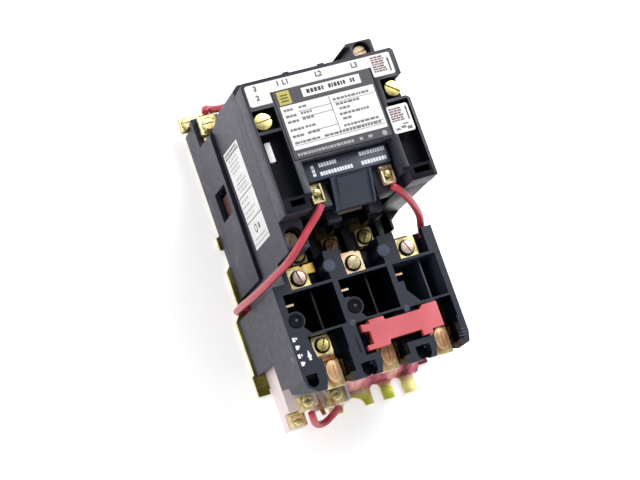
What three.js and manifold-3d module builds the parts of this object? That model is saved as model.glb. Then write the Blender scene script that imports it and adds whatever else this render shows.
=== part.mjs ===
// A magnetic motor starter: a contactor and an overload relay on one steel plate.
// Millimetres. X runs across the starter, Y towards the line terminals, Z out of the panel.
// The origin is on the back face of the plate, on the overload relay's centre line.

import * as THREE from 'three';
import { mergeVertices } from 'three/addons/utils/BufferGeometryUtils.js';
import Module from 'manifold-3d';

const wasm = await Module();
wasm.setup();

// Driving dimensions
const GAP = 0.3;              // left between pieces that touch
const PLATE_TOP = 1.9;        // thickness of the steel plate
const FLOOR = PLATE_TOP + GAP;

const AXIS_X = 3.2;           // contactor centre line
const POLE_PITCH = 21;
const POLES = [-1, 0, 1].map((step) => AXIS_X + step * POLE_PITCH);
const AUX_X = -36.1;          // auxiliary pole
const BAR_Y = 28.4;           // centre of the crossbar and of the base
const BASE = { left: -44.5, right: 48.6, bottom: -21.8, top: 78.6, front: 47 };
const HOUSING = { left: -42.2, right: 48.6, bottom: -5, top: 74, front: 103.7 };
const COVER = { left: -42.2, right: 48.6, bottom: -5.4, top: 70, back: 104, front: 118 };
const STRIP = { back: 39.3, front: 41.3, width: 11 };   // fixed contact strips
const LINE_Y = 71.8;          // line and load terminal screws
const LOAD_Y = -14;
const COVER_SCREWS = [[-35.9, 47.4, 5], [41.5, 47.6, 4.6]];     // x, y, head radius
const COVER_SCREW_TOP = 116.8;
const EAR_SCREWS = [[37, 76.4, 4, 101], [-36.4, -14.6, 4.2, 96.5]];   // x, y, head radius, front
const MAGNET_Y = 26;
const BAR_FRONT = 42;         // front of the crossbar at rest
const RETURN_SPRING = { x: 39.6, back: 42.4, front: 60 };

const RELAY = { left: -50, right: 50, front: 80.6, top: -24.3, bottom: -95.5 };
const RELAY_PITCH = 33;
const RELAY_POLES = [0, 1, 2].map((step) => step * RELAY_PITCH);   // offsets from the left pole
const BAY = { left: -45.7, right: -16, top: -40, bottom: -64, floor: 45 };
const UPPER = { x: -32, y: -32.3, seat: 71.6 };  // upper heater terminal of the left pole
const LOWER = { x: -31.2, y: -71, seat: 70 };    // lower heater terminal of the left pole
const LUG = { x: -28.3, y: -85.8, seat: 67 };    // load lug of the left pole
const BOSSES = [[-43, -55.2], [-8.3, -56.3]];    // round ears at the corner of the first two bays
const STRAP_SHELF = { back: 48, front: 49.4 };   // where a strap runs sideways below its terminal
const RESET = { x: 21.5, y: -73.6 };           // stem of the reset bar
const SLIDER = { y: -49, guides: [-36.5, 16] };   // guides: x of the hangers that hold the trip slider
const WIRE_R = 2.1;

const ROUND = 20;             // sides of a round shape

// Solids: three.js geometry handed to manifold for joins and cuts

function solid(geometry) {
  geometry.deleteAttribute('normal');
  geometry.deleteAttribute('uv');
  const merged = mergeVertices(geometry, 1e-4);
  return new wasm.Manifold(new wasm.Mesh({
    numProp: 3,
    vertProperties: merged.attributes.position.array,
    triVerts: new Uint32Array(merged.index.array),
  }));
}

function block(x0, x1, y0, y1, z0, z1) {
  const geometry = new THREE.BoxGeometry(x1 - x0, y1 - y0, z1 - z0);
  geometry.translate((x0 + x1) / 2, (y0 + y1) / 2, (z0 + z1) / 2);
  return solid(geometry);
}

function extrude(outline, depth) {
  const shape = new THREE.Shape(outline.map(([u, v]) => new THREE.Vector2(u, v)));
  return new THREE.ExtrudeGeometry(shape, { depth, bevelEnabled: false });
}

// An outline in X and Y, raised from z0 to z1
function prismZ(outline, z0, z1) {
  return solid(extrude(outline, z1 - z0).translate(0, 0, z0));
}

// An outline in Y and Z, swept from x0 to x1
function prismX(outline, x0, x1) {
  const geometry = extrude(outline, x1 - x0);
  const turn = new THREE.Matrix4().makeBasis(
    new THREE.Vector3(0, 1, 0), new THREE.Vector3(0, 0, 1), new THREE.Vector3(1, 0, 0));
  return solid(geometry.applyMatrix4(turn).translate(x0, 0, 0));
}

function disc(x, y, r, z0, z1, sides = ROUND) {
  const geometry = new THREE.CylinderGeometry(r, r, z1 - z0, sides);
  geometry.rotateX(Math.PI / 2).translate(x, y, (z0 + z1) / 2);
  return solid(geometry);
}

function cone(x, y, r0, r1, z0, z1, sides = ROUND) {
  const geometry = new THREE.CylinderGeometry(r1, r0, z1 - z0, sides);
  geometry.rotateX(Math.PI / 2).translate(x, y, (z0 + z1) / 2);
  return solid(geometry);
}

// A rectangle with rounded corners, as an outline
function rounded(x0, x1, y0, y1, r, steps = 3) {
  const corners = [[x1 - r, y0 + r, -90], [x1 - r, y1 - r, 0], [x0 + r, y1 - r, 90], [x0 + r, y0 + r, 180]];
  return corners.flatMap(([cx, cy, start]) => Array.from({ length: steps + 1 }, (_, i) => {
    const angle = THREE.MathUtils.degToRad(start + (90 * i) / steps);
    return [cx + r * Math.cos(angle), cy + r * Math.sin(angle)];
  }));
}

function join(...solids) {
  return solids.reduce((sum, next) => sum.add(next));
}

function cut(body, ...tools) {
  return tools.reduce((rest, tool) => rest.subtract(tool), body);
}

// A round bar swept along a smooth curve through the given points
function tube(points, radius, sides, steps, closedForm = null) {
  const path = closedForm ?? new THREE.CatmullRomCurve3(points.map((p) => new THREE.Vector3(...p)));
  const ring = Array.from({ length: sides }, (_, i) => {
    const angle = (2 * Math.PI * i) / sides;
    return new THREE.Vector2(radius * Math.cos(angle), radius * Math.sin(angle));
  });
  return solid(new THREE.ExtrudeGeometry(new THREE.Shape(ring), { steps, extrudePath: path }));
}

class Helix extends THREE.Curve {
  constructor(x, y, radius, z0, z1, turns) {
    super();
    Object.assign(this, { x, y, radius, z0, z1, turns });
  }

  getPoint(t, target = new THREE.Vector3()) {
    const angle = 2 * Math.PI * this.turns * t;
    return target.set(this.x + this.radius * Math.cos(angle), this.y + this.radius * Math.sin(angle),
      THREE.MathUtils.lerp(this.z0, this.z1, t));
  }
}

function coilSpring(x, y, radius, wire, z0, z1, turns) {
  return tube(null, wire, 6, turns * 12, new Helix(x, y, radius, z0 + wire, z1 - wire, turns));
}

// Scene graph

const starter = new THREE.Group();

function add(name, shape, [color, roughness, metalness = 0]) {
  const { vertProperties, triVerts } = shape.getMesh();
  const geometry = new THREE.BufferGeometry();
  geometry.setAttribute('position', new THREE.BufferAttribute(new Float32Array(vertProperties), 3));
  geometry.setIndex(new THREE.BufferAttribute(new Uint32Array(triVerts), 1));
  geometry.computeVertexNormals();
  const mesh = new THREE.Mesh(geometry, new THREE.MeshStandardMaterial({ color, roughness, metalness }));
  mesh.name = name;
  starter.add(mesh);
}

const DARK_PLASTIC = [0x35353f, 0.6];
const BLACK_PLASTIC = [0x17181e, 0.5];
const BLUE_PLASTIC = [0x1c2130, 0.45];
const PALE_PLASTIC = [0xe6d3d0, 0.55];
const RED_PLASTIC = [0xe0525c, 0.5];
const BROWN_PLASTIC = [0x5c2a22, 0.6];
const BRASS = [0xd9bf72, 0.3, 1];
const COPPER = [0xc98a55, 0.35, 1];
const STEEL = [0x9a9a9c, 0.45, 1];
const ZINC = [0xc3b552, 0.4, 1];
const RED_WIRE = [0xd8434f, 0.45];

// Fasteners

function slottedHead(x, y, r, z0, z1, slotWidth = 1.1) {
  const dome = join(disc(x, y, r, z0, z1 - 0.6), cone(x, y, r, r - 0.7, z1 - 0.6, z1));
  return cut(dome, block(x - r, x + r, y - slotWidth / 2, y + slotWidth / 2, z1 - 1, z1 + 1));
}

// A terminal screw with its captive clamp plate
function clampScrew(x, y, seat, { size = 12, height = 3.2, headR = 4.8, headTop = 6, shank = 4.5 } = {}) {
  const half = size / 2;
  const wireWays = half > 4.5
    ? [-half + 1.6, 2.6].map((side) => block(x + side, x + side + half - 4.2, y - size, y + size,
      seat - 1, seat + height - 1.2))
    : [];
  const plate = cut(
    prismZ(rounded(x - half, x + half, y - half, y + half, 0.8, 2), seat, seat + height), ...wireWays);
  const head = slottedHead(x, y, headR, seat + height - 0.1, seat + headTop);
  return join(plate, head, disc(x, y, 1.9, seat - shank, seat + 1));
}

function plainScrew(x, y, headR, back, neck, front) {
  return join(slottedHead(x, y, headR, neck, front), disc(x, y, 1.9, back, neck + 0.5));
}

// Mounting plate

function mountingPlate() {
  const outline = [
    [-52.8, -79], [-45.5, -79], [-45.5, -76], [-15.5, -76], [-15.5, -101.7], [40, -101.7], [40, -91.5],
    [44, -88], [52, -88], [52, -36], [47, -28], [47, 83], [-26, 83], [-26, 78], [-43.6, 78], [-43.6, 18],
    [-46.4, 17], [-46.4, 10], [-43.6, 9], [-43.6, 0], [-47, -4], [-47, -28], [-51.4, -34],
    [-51.4, -66.2], [-52.8, -67.2],
  ];
  const sheet = prismZ(outline, 0, PLATE_TOP);
  const ridge = prismX([[-91.5, 0], [-89.6, 0], [-85, 8], [-78, 8], [-76, PLATE_TOP], [-76, PLATE_TOP + 1.6],
    [-77, 9.9], [-86, 9.9], [-91.5, PLATE_TOP]], -3.6, 44);
  const underRidge = prismX([[-89.6, -1], [-89.6, 0], [-85, 8], [-78, 8], [-75.4, -1]], -3.6, 44);
  const arch = join(disc(-0.4, -102.5, 7.4, -1, 3, 28));
  const slots = [15.4, 28.8].map((x) => join(
    disc(x, -94.2, 3.2, -1, 3), block(x - 3.2, x + 3.2, -104, -94.2, -1, 3)));
  const hangers = [-16, 36].map((x) => join(
    disc(x, 79, 2.6, -1, 3), block(x - 2.6, x + 2.6, 79, 90, -1, 3)));
  return cut(join(cut(sheet, underRidge), ridge), arch, ...slots, ...hangers);
}

// Contactor

function contactorBase() {
  const outline = [
    [BASE.left, BASE.bottom], [34, BASE.bottom], [34, -17], [38, -17], [42.5, -14.5], [42.5, -9.5],
    [BASE.right, -5], [BASE.right, BASE.top], [-28, BASE.top], [-28, 66.2], [BASE.left, 66.2],
  ];
  const auxWall = cut(prismX([[66, FLOOR], [79.5, FLOOR], [84, 22.9], [66, 22.9]], BASE.left, -27.9),
    block(-50, -31.4, 80.1, 95, 0, 17));
  const body = join(prismZ(outline, FLOOR, BASE.front), auxWall);
  const crossbarWell = block(-41.4, 47.4, 20.4, 36.4, 12, 50);
  const channels = POLES.flatMap((x) => [
    block(x - 8, x + 8, 36, 90, 36, 50), block(x - 8, x + 8, -30, 20.8, 36, 50),
    block(x - 6.5, x + 6.5, 10, 46.8, 28, 50),
  ]);
  const auxChannel = block(-41.4, -29.4, 36, 66.3, 22.9, 50);
  const auxSeat = block(-46, -29.4, 66.2, 90, 22.9, 50);
  const auxLower = block(-41.4, -29.4, 7.9, 20.8, 25, 50);
  const auxReturn = join(block(-40.6, -31.4, 7.9, 95, 8.2, 12.5), block(-40.6, -31.4, 7.9, 11, 8.2, 30));
  const window = block(-46, -41.3, 20.5, 37.5, 20, 43);
  const sideLoad = block(35.6, 41, -30, 3, 36, 50);
  const earHole = disc(38.4, -13.2, 2.4, 0, 50);
  const screws = POLES.flatMap((x) => [
    disc(x, LINE_Y, 2.3, 30, 50), disc(x, LOAD_Y, 2.3, 30, 50),
  ]);
  return cut(body, crossbarWell, ...channels, auxChannel, auxSeat, auxLower, auxReturn, window, sideLoad,
    earHole, ...screws);
}

function arcHousing() {
  const h = HOUSING;
  const z0 = BASE.front + GAP;
  const walls = prismZ([
    [h.left, -22.3], [-29.5, -22.3], [-29.5, h.bottom], [h.right, h.bottom], [h.right, h.top - 4],
    [44.4, h.top], [-39, h.top], [h.left, h.top - 3],
  ], z0, h.front);
  const pegs = POLES.map((x) => block(x - 4.6, x + 4.6, -10, h.bottom + 1, 58, 72));
  const earOutline = [[18, h.top - 1], [19.8, 74.7], [29.3, 82], [43.6, 82], [44.4, 81], [44.4, h.top - 1]];
  const ear = prismZ(earOutline, 66, h.front);
  const magnetWell = block(-23.5, 29.9, -10, 48, z0 - 1, h.front + 1);
  const sill = block(-23.5, 29.9, h.bottom, h.bottom + 2.5, z0, 60);
  const pockets = [
    block(-39.7, -26, 0, 70, z0 - 1, 99), block(32.4, 46, -2, 66, z0 - 1, 99), block(-23, 29, 51, 71, z0 - 1, 99),
  ];
  const indicatorSlot = block(-39.2, -33.9, 24.6, 37.4, 90, 110);
  const auxCorner = prismX([[68.5, 40], [68.5, 55], [71, 60], [90, 60], [90, 40]], -50, -28.6);
  const chimneys = POLES.map((x) => block(x - 6.4, x + 6.4, 64, 80, z0 - 1, h.front + 1));
  const earHoles = EAR_SCREWS.map(([x, y, r, front]) => join(
    disc(x, y, r + 1.1, front - 4.5, 110, 24), disc(x, y, 2.4, 40, front)));
  const coverBosses = COVER_SCREWS.map(([x, y]) => disc(x, y, 5, z0, 99));
  const screwHoles = COVER_SCREWS.map(([x, y]) => disc(x, y, 2.3, 80, 110));
  const springSeat = block(33, 46.2, 22, 35, RETURN_SPRING.front, 99.5);
  const topBumps = [-11.3, 9.8].map((x) => prismZ([[x - 4, h.top - 1], [x + 4, h.top - 1], [x + 3.2, h.top + 0.9],
    [x - 3.2, h.top + 0.9]], 88, h.front));
  const hollow = cut(join(walls, ear), ...pockets);
  return cut(join(cut(join(hollow, ...coverBosses), magnetWell), sill, springSeat, ...topBumps, ...pegs),
    indicatorSlot, auxCorner, ...chimneys, ...earHoles, ...screwHoles);
}

function frontCover() {
  const c = COVER;
  const outline = [
    [c.left, c.bottom], [-26, c.bottom], [-26, 1], [33.5, 1], [33.5, c.bottom], [c.right, c.bottom], [c.right, 40.1],
    [46.5, 41.6], [46.5, 54.4], [c.right, 54.4], [c.right, c.top - 1.5], [c.right - 1.5, c.top],
    [c.left + 2, c.top], [c.left, c.top - 2],
  ];
  const shell = cut(prismZ(outline, c.back, c.front),
    block(-24, 31, 23.4, 67, c.back - 1, 114),
    block(-39.6, -27.4, 57, 67, c.back - 1, 114), block(33.4, 46, 57, 67, c.back - 1, 114));
  const coilOpening = block(-23.6, 30.2, -10, 20.6, c.back - 1, c.front + 1);
  const nameRecess = block(-26.8, 32, 21.6, 62, c.front - 0.9, c.front + 1);
  const screwPockets = [[-41, -28], [35, 49]].map(([x0, x1]) => block(x0, x1, 41.6, 53.6,
    COVER_SCREW_TOP - 4.6, c.front + 1));
  const sideRecesses = [[-41, -27.8], [34.4, 46.8]].map(([x0, x1]) => block(x0, x1, 3, 39.8, 110.5, c.front + 1));
  const lipHoles = [[-37, -28.7], [36.2, 45.5]].map(([x0, x1]) => block(x0, x1, -2.2, 1.2, 108, c.front + 1));
  const indicatorSlot = block(-39.2, -33.9, 24.6, 37.4, c.back - 1, c.front);
  const screwHoles = COVER_SCREWS.map(([x, y]) => disc(x, y, 2.3, c.back - 1, c.front));
  return cut(shell, coilOpening, nameRecess, ...screwPockets, ...sideRecesses, ...lipHoles, indicatorSlot,
    ...screwHoles);
}

function coil() {
  const winding = cut(
    prismZ(rounded(-17.2, 23.6, -2.6, 44.6, 5), 66, 90.5),
    block(AXIS_X - 7.2, AXIS_X + 7.2, MAGNET_Y - 10.8, MAGNET_Y + 10.8, 60, 100));
  const legs = [-1, 1].map((side) => block(AXIS_X + side * 21 - 4.3, AXIS_X + side * 21 + 4.3,
    MAGNET_Y - 10.8, MAGNET_Y + 10.8, 60, 100));
  const shelf = block(-23.2, 29.8, -4.4, 13.6, 88, 106);
  const coverBed = block(-10, 16.4, -8, 8, 98.2, 107);
  return cut(join(winding, shelf), ...legs, coverBed);
}

function coilCover() {
  const hump = prismX([[-7.5, 98.6], [7.7, 98.6], [7.7, 106.3], [20.2, 106.3], [20.2, 111.6], [9.7, 111.6],
    [-5.6, 104.9], [-7.5, 102.6]], -8.8, 15.2);
  const label = block(-21.5, 28.1, 9.6, 20.2, 106.3, 111.6);
  return join(hump, label);
}

function magnetCore() {
  const y0 = MAGNET_Y - 10;
  const y1 = MAGNET_Y + 10;
  const yoke = block(AXIS_X - 24, AXIS_X + 24, y0, y1, 91.2, 102.5);
  const legs = [-20.6, 0, 20.6].map((offset) => block(AXIS_X + offset - (offset ? 3.4 : 6.5),
    AXIS_X + offset + (offset ? 3.4 : 6.5), y0, y1, 63.3, 92));
  return join(yoke, ...legs);
}

function armature() {
  const y0 = MAGNET_Y - 9.4;
  const y1 = MAGNET_Y + 9.4;
  return block(AXIS_X - 23.6, AXIS_X + 23.6, y0, y1, 48.4, 58);
}

// Crossbar with one window per bridging contact, and the indicator post at its left end
function contactCarrier() {
  const bar = block(-41, 47, 22.6, 34.2, 20, BAR_FRONT);
  const bed = block(AXIS_X - 20, AXIS_X + 20, 22.6, 34.2, BAR_FRONT, 48.1);
  const windows = POLES.map((x) => block(x - 5.6, x + 5.6, 20, 40, 24, 33));
  const auxWindow = block(AUX_X - 4.6, AUX_X + 4.6, 20, 40, 24, 33);
  const post = block(-38.3, -34.8, 25.4, 34.2, BAR_FRONT, 112.4);
  const head = block(-38.3, -34.8, 25.4, 36.6, 104.5, 112.4);
  return cut(join(bar, bed, post, head), ...windows, auxWindow);
}

// A bridging contact: a flat bar with a silver button at each end
function bridge(x, width) {
  const barSide = [[10.9, 31], [45.9, 31], [45.9, 32], [44.4, 32.5], [12.4, 32.5], [10.9, 32]];
  const springSide = [[20.4, 31.2], [24.4, 24.3], [32.4, 24.3], [36.4, 31.2], [35.4, 31.2], [32, 25], [24.8, 25],
    [21.4, 31.2]];
  const bar = prismX(barSide, x - width / 2, x + width / 2);
  const spring = prismX(springSide, x - 1.6, x + 1.6);
  return join(bar, spring, disc(x, 14, 2.8, 32.2, 33, 12), disc(x, 42.8, 2.8, 32.2, 33, 12));
}

// A fixed contact strip from inside the chamber out to its terminal
function fixedContact(x, inner, outer, buttonY, screwY) {
  const strip = block(x - STRIP.width / 2, x + STRIP.width / 2, Math.min(inner, outer), Math.max(inner, outer),
    STRIP.back, STRIP.front);
  return cut(join(strip, disc(x, buttonY, 3, STRIP.back - 1, STRIP.back + 0.2, 12)), disc(x, screwY, 2.2, 30, 50));
}

// The auxiliary pole's contacts end in two terminals, one above the other, at the upper left corner
function auxContactUpper() {
  const strip = block(-40.4, -31.8, 38.4, 60, STRIP.back, STRIP.front);
  const riser = block(-40.4, -31.8, 58.2, 60, 23.2, STRIP.front);
  const seat = block(-41, -30.6, 58.2, 84.4, 23.2, 25);
  return join(strip, riser, seat, disc(AUX_X, 42.8, 2.6, STRIP.back - 1, STRIP.back + 0.2, 12),
    clampScrew(-36.6, 77.4, 24.9, { size: 11, headR: 4, headTop: 5, shank: 1.5 }));
}

function auxContactLower() {
  const strip = block(-40.2, -31.8, 8.4, 18.4, STRIP.back, STRIP.front);
  const riser = block(-40.2, -31.8, 8.4, 10.2, 8.6, STRIP.front);
  const run = block(-40.2, -31.8, 8.4, 89.4, 8.6, 10.4);
  const seat = block(-48.2, -31.8, 80.6, 89.4, 8.6, 10.4);
  return join(strip, riser, run, seat, disc(AUX_X, 14, 2.6, STRIP.back - 1, STRIP.back + 0.2, 12),
    clampScrew(-44, 85, 10.3, { size: 8, headR: 3.4, headTop: 5, shank: 1 }));
}

// Overload relay

function poleShift(shape, offset) {
  return shape.translate([offset, 0, 0]);
}

function overloadHousing() {
  const r = RELAY;
  const outline = [
    [r.left, -34.2], [-42.5, -34.2], [-42.5, -22.5], [40, -22.5], [43, r.top], [r.right, r.top],
    [r.right, -87.5], [48.5, -93], [40, r.bottom], [-44, r.bottom], [-49, -92], [r.left, -87],
  ];
  const full = prismZ(outline, FLOOR, r.front);
  const underWing = join(
    block(-60, 60, -110, -67.6, 0, 38), block(-60, 60, -110, -84, 0, 51.5), block(-46.5, -3.6, -110, -63.5, 0, 31),
    prismX([[-89.5, 51.4], [-95.3, 78.2], [-110, 78.2], [-110, 51.4]], -60, 60));
  const backHollow = block(-46.5, 46.5, -64, -38.4, 0, 42);
  const wireGate = block(-43.5, -35.5, -40, -20, 0, 9);
  const poleCuts = RELAY_POLES.flatMap((offset) => [
    heaterBay(offset), upperSeat(offset), lowerSeat(offset), lugSeat(offset), wireNotch(offset),
    ...[UPPER, LOWER, LUG].map(({ x, y, seat }) => disc(x + offset, y, 2.3, seat - 6, seat)),
  ]);
  const shelfWays = RELAY_POLES.map((_, pole) => shelfWay(pole));
  const resetBed = block(-11.4, 38, -84, -65.4, r.front - 5, r.front + 1);
  const resetShaft = disc(RESET.x, RESET.y, 3, 50, r.front);
  const wireSocket = block(44, 49.4, -29, -20, 66, 76);
  const ribs = RELAY_POLES.map((offset) => poleShift(block(-28, -27, BAY.bottom, BAY.top, BAY.floor - 1, 74), offset));
  const guides = SLIDER.guides.map((x) => cut(block(x - 1.5, x + 1.5, SLIDER.y - 5, SLIDER.y + 5, 29, 43),
    block(x - 2, x + 2, SLIDER.y - 3.3, SLIDER.y + 3.3, 31.7, 36.3)));
  const posts = RELAY_POLES.slice(0, 2).map((offset) => disc(-14.6 + offset, -31, 4, 40, r.front, 16));
  const bosses = BOSSES.map(([x, y]) => disc(x, y, 5.2, BAY.floor - 1, r.front));
  return cut(join(cut(full, underWing, backHollow, wireGate, ...poleCuts), ...ribs, ...posts, ...bosses, ...guides),
    resetBed, resetShaft, wireSocket, ...shelfWays);
}

function heaterBay(offset) {
  const b = BAY;
  const right = offset > RELAY_PITCH ? b.right - 3.5 : b.right;
  const outline = [[b.left, b.top], [b.left, -50.5], [b.left + 3.2, -50.5], [b.left + 3.2, -56], [b.left + 9, b.bottom],
    [right, b.bottom], [right, b.top]];
  return poleShift(prismZ(outline, b.floor, 90), offset);
}

function upperSeat(offset) {
  const last = offset > RELAY_PITCH;
  const right = last ? -22 : -19.6;
  const seat = block(-39.3, right, -38.4, -18, UPPER.seat - GAP - 2, 90);
  const strapWay = block(-39.3, right, -26.6, -18, STRAP_SHELF.back - 0.4, 90);
  return poleShift(join(seat, strapWay, ...(last ? [] : [block(-20, -16, -38.4, -18, 50, 90)])), offset);
}

function shelfWay(pole) {
  const [left, right] = strapSpan(pole);
  return block(left - 0.4, right + 0.4, -26.6, -18, STRAP_SHELF.back - 0.4, STRAP_SHELF.front + 0.5);
}

function lowerSeat(offset) {
  const seat = prismZ([[-40, -65.2], [-38, -78.4], [-24.4, -78.4], [-24.4, -65.2]], LOWER.seat - GAP - 2, 90);
  return poleShift(join(seat, block(-24.6, -19.2, -77.2, -65.2, 64, 90)), offset);
}

function lugSeat(offset) {
  const seat = prismZ([[-36, -77], [-36.4, -89], [-38.6, -95.6], [-38.6, -110], [-22.6, -110], [-22.6, -77]],
    LUG.seat - GAP - 2, 90);
  const recess = block(-22.7, -19.8, -90.5, -77, 53, 90);
  return poleShift(join(seat, recess), offset);
}

function wireNotch(offset) {
  const x = -44.9 + offset;
  const [r, y] = offset ? [4.3, -91.6] : [3.2, -89.4];
  return join(disc(x, y, r, 54, 90, 16), block(x - r, x + r, y, y + 4, 54, 90));
}

// A strap runs from under a contactor load screw up to the relay's heater terminal
function strapSpan(pole) {
  const x = UPPER.x + RELAY_POLES[pole];
  return [Math.min(x - 4, POLES[pole] - 4), Math.max(x + 4, POLES[pole] + 4)];
}

function strap(pole) {
  const x = UPPER.x + RELAY_POLES[pole];
  const end = POLES[pole];
  const top = UPPER.seat;
  const { back, front } = STRAP_SHELF;
  const [left, right] = strapSpan(pole);
  const seat = block(x - 6.4, x + 6.4, -38, -26, top - 2, top - 0.2);
  const riser = block(x - 4, x + 4, -26.2, -24.8, back, top - 0.2);
  const shelf = block(left, right, -26.2, -22.8, back, front);
  const step = block(end - 4, end + 4, -23, -20.8, back, front);
  const drop = block(end - 4, end + 4, -22.2, -20.8, STRIP.front + GAP, front);
  const foot = block(end - 4, end + 4, -22.2, -19.4, STRIP.front + GAP, STRIP.front + 2);
  const tab = pole ? [] : [block(x + 6, x + 12, -30.4, -25, top - 2, top - 0.2)];
  return cut(join(seat, riser, shelf, step, drop, foot, ...tab), disc(x, UPPER.y, 2.2, 50, 80));
}

function outputLug(offset) {
  const seat = block(LOWER.x - 6, LOWER.x + 6.2, -77.4, -65.8, LOWER.seat - 2, LOWER.seat - 0.2);
  const riser = block(LOWER.x - 2.4, LOWER.x + 6.2, -79.2, -77.3, LUG.seat - 2, LOWER.seat - 0.2);
  const lug = block(LUG.x - 6, LUG.x + 5.3, -94.2, -79, LUG.seat - 2, LUG.seat - 0.2);
  return poleShift(cut(join(seat, riser, lug),
    disc(LOWER.x, LOWER.y, 2.2, 40, 80), disc(LUG.x, LUG.y, 2.2, 40, 80)), offset);
}

function resetBar() {
  const z0 = RELAY.front - 1.1;
  const z1 = RELAY.front + 1.9;
  const outline = [
    [-4.5, -66.2], [4.5, -66.2], [5, -68.4], [26, -68.4], [28, -66.4], [36.8, -66.4], [36.8, -80.6], [29.4, -80.6],
    [29.4, -83], [23.4, -83], [23.4, -79.6], [4.4, -79.6], [3.4, -82.4], [-9.6, -82.4], [-9.6, -79.6],
    [-5.6, -79.6], [-5.6, -72.4], [-9.6, -71.6], [-9.6, -67.6], [-4.5, -68.4],
  ];
  const stem = disc(RESET.x, RESET.y, 2.6, 58, z0 + 1, 12);
  return join(prismZ(outline, z0, z1), stem);
}

function tripSlider() {
  const { y } = SLIDER;
  const bar = block(-41, 41, y - 3, y + 3, 32, 36);
  const pawls = RELAY_POLES.map((offset) => block(-29 + offset, -26 + offset, y - 5, y + 5, 28, 38));
  return join(bar, ...pawls);
}

function contactBlock() {
  const body = join(
    block(-45, -33.6, -103.5, -64, FLOOR, 11.5),
    block(-45, -26.5, -94.6, -64, FLOOR, 21.5),
    block(-27, -4.4, -97.3, -80, FLOOR, 11.5));
  const wireWell = block(-43.4, -36.6, -78, -60, 3.8, 9.4);
  return cut(body, wireWell);
}

function controlTerminalLeft() {
  const high = block(-38.4, -30, -96.5, -88.4, 21.8, 23.4);
  const riser = block(-38.4, -34, -96.5, -94.9, 11.8, 23.4);
  const low = block(-44.2, -34, -103.2, -94.9, 11.8, 13.4);
  return join(high, riser, low,
    clampScrew(-34.2, -92.4, 23.3, { size: 8, headR: 3.2, headTop: 4.6, shank: 1, height: 2.6 }),
    clampScrew(-40, -99.8, 13.3, { size: 7, headR: 2.9, headTop: 4, shank: 1, height: 2 }));
}

function controlTerminalRight() {
  return join(block(-19.4, -7.4, -97, -87.6, 11.8, 13.4),
    clampScrew(-13.4, -92.4, 13.3, { size: 8, headR: 3.2, headTop: 4.6, shank: 1, height: 2.6 }));
}

// Wires: smooth routes through points chosen along the real runs

const ROUTES = {
  wire_left: [
    [-17.9, -3.4, 109.4], [-21.5, -7.4, 109.4], [-28.5, -13.6, 108.4], [-35.6, -20, 107.8], [-42, -26, 103.2],
    [-49, -30, 82], [-53, -31.6, 58], [-54.2, -31, 34], [-52.6, -30, 14], [-48.4, -28.8, 6.2],
    [-43.2, -29.6, 5], [-40, -36, 4.9], [-40, -52, 5.6], [-40, -64, 6.6], [-40, -74, 6.6],
  ],
  wire_right: [
    [24.4, -3.4, 109.4], [27.6, -6, 108.6], [33.6, -10.2, 102], [40.6, -14.6, 91], [45.4, -18.4, 81],
    [47, -22, 74.5], [46.8, -28, 71.4],
  ],
  wire_jumper: [
    [-33.8, -98.8, 25.3], [-33.2, -101, 23.6], [-31, -104, 17], [-27.4, -105.3, 12], [-22.8, -104.8, 10],
    [-18.6, -102.8, 10.6],
    [-15.4, -100.8, 12.8], [-13.6, -99.8, 15.4],
  ],
  wire_aux: [
    [-36.8, 84.2, 29.6], [-35.6, 86.6, 28.2], [-31.6, 85.4, 28], [-26, 83.6, 33], [-21.6, 82.8, 39.6],
    [-18.8, 81, 43.4], [-18, 77.8, 44.2],
  ],
};

// Assembly

add('mounting_plate', mountingPlate(), ZINC);
add('contactor_base', contactorBase(), DARK_PLASTIC);
add('arc_housing', arcHousing(), DARK_PLASTIC);
add('front_cover', frontCover(), DARK_PLASTIC);
add('coil', coil(), BLACK_PLASTIC);
add('coil_cover', coilCover(), BLUE_PLASTIC);
add('magnet_core', magnetCore(), STEEL);
add('armature', armature(), STEEL);
add('contact_carrier', contactCarrier(), BROWN_PLASTIC);
const { x: springX, back: springBack, front: springFront } = RETURN_SPRING;
add('return_spring', coilSpring(springX, BAR_Y, 4, 0.5, springBack, springFront - GAP, 6), STEEL);

add('bridge_aux', bridge(AUX_X, 7), COPPER);
add('aux_contact_upper', auxContactUpper(), BRASS);
add('aux_contact_lower', auxContactLower(), BRASS);

POLES.forEach((x, i) => {
  const pole = i + 1;
  add(`bridge_${pole}`, bridge(x, 9), COPPER);
  add(`line_contact_${pole}`, fixedContact(x, 38.4, 78.2, 42.8, LINE_Y), BRASS);
  add(`load_contact_${pole}`, fixedContact(x, 18.4, -21.4, 14, LOAD_Y), BRASS);
  add(`line_screw_${pole}`, clampScrew(x, LINE_Y, STRIP.front + GAP, { size: 10, headR: 4.4, headTop: 5 }), BRASS);
  add(`load_screw_${pole}`, clampScrew(x, LOAD_Y, STRIP.front + GAP, { size: 10, headR: 4.4, headTop: 5 }), BRASS);
});

const COIL_CLAMP = { size: 8, headR: 3.2, headTop: 4.6, shank: 0, height: 2.6 };
add('coil_terminal_left', clampScrew(-17.9, 3.6, 106.3, COIL_CLAMP), BRASS);
add('coil_terminal_right', clampScrew(24.4, 3.6, 106.3, COIL_CLAMP), BRASS);
COVER_SCREWS.forEach(([x, y, r], i) => {
  add(['cover_screw_left', 'cover_screw_right'][i],
    plainScrew(x, y, r, 84, COVER_SCREW_TOP - 4.3, COVER_SCREW_TOP), BRASS);
});
EAR_SCREWS.forEach(([x, y, r, front], i) => {
  add(['housing_screw_top', 'housing_screw_bottom'][i], plainScrew(x, y, r, 50, front - 4.2, front), BRASS);
});

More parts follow.
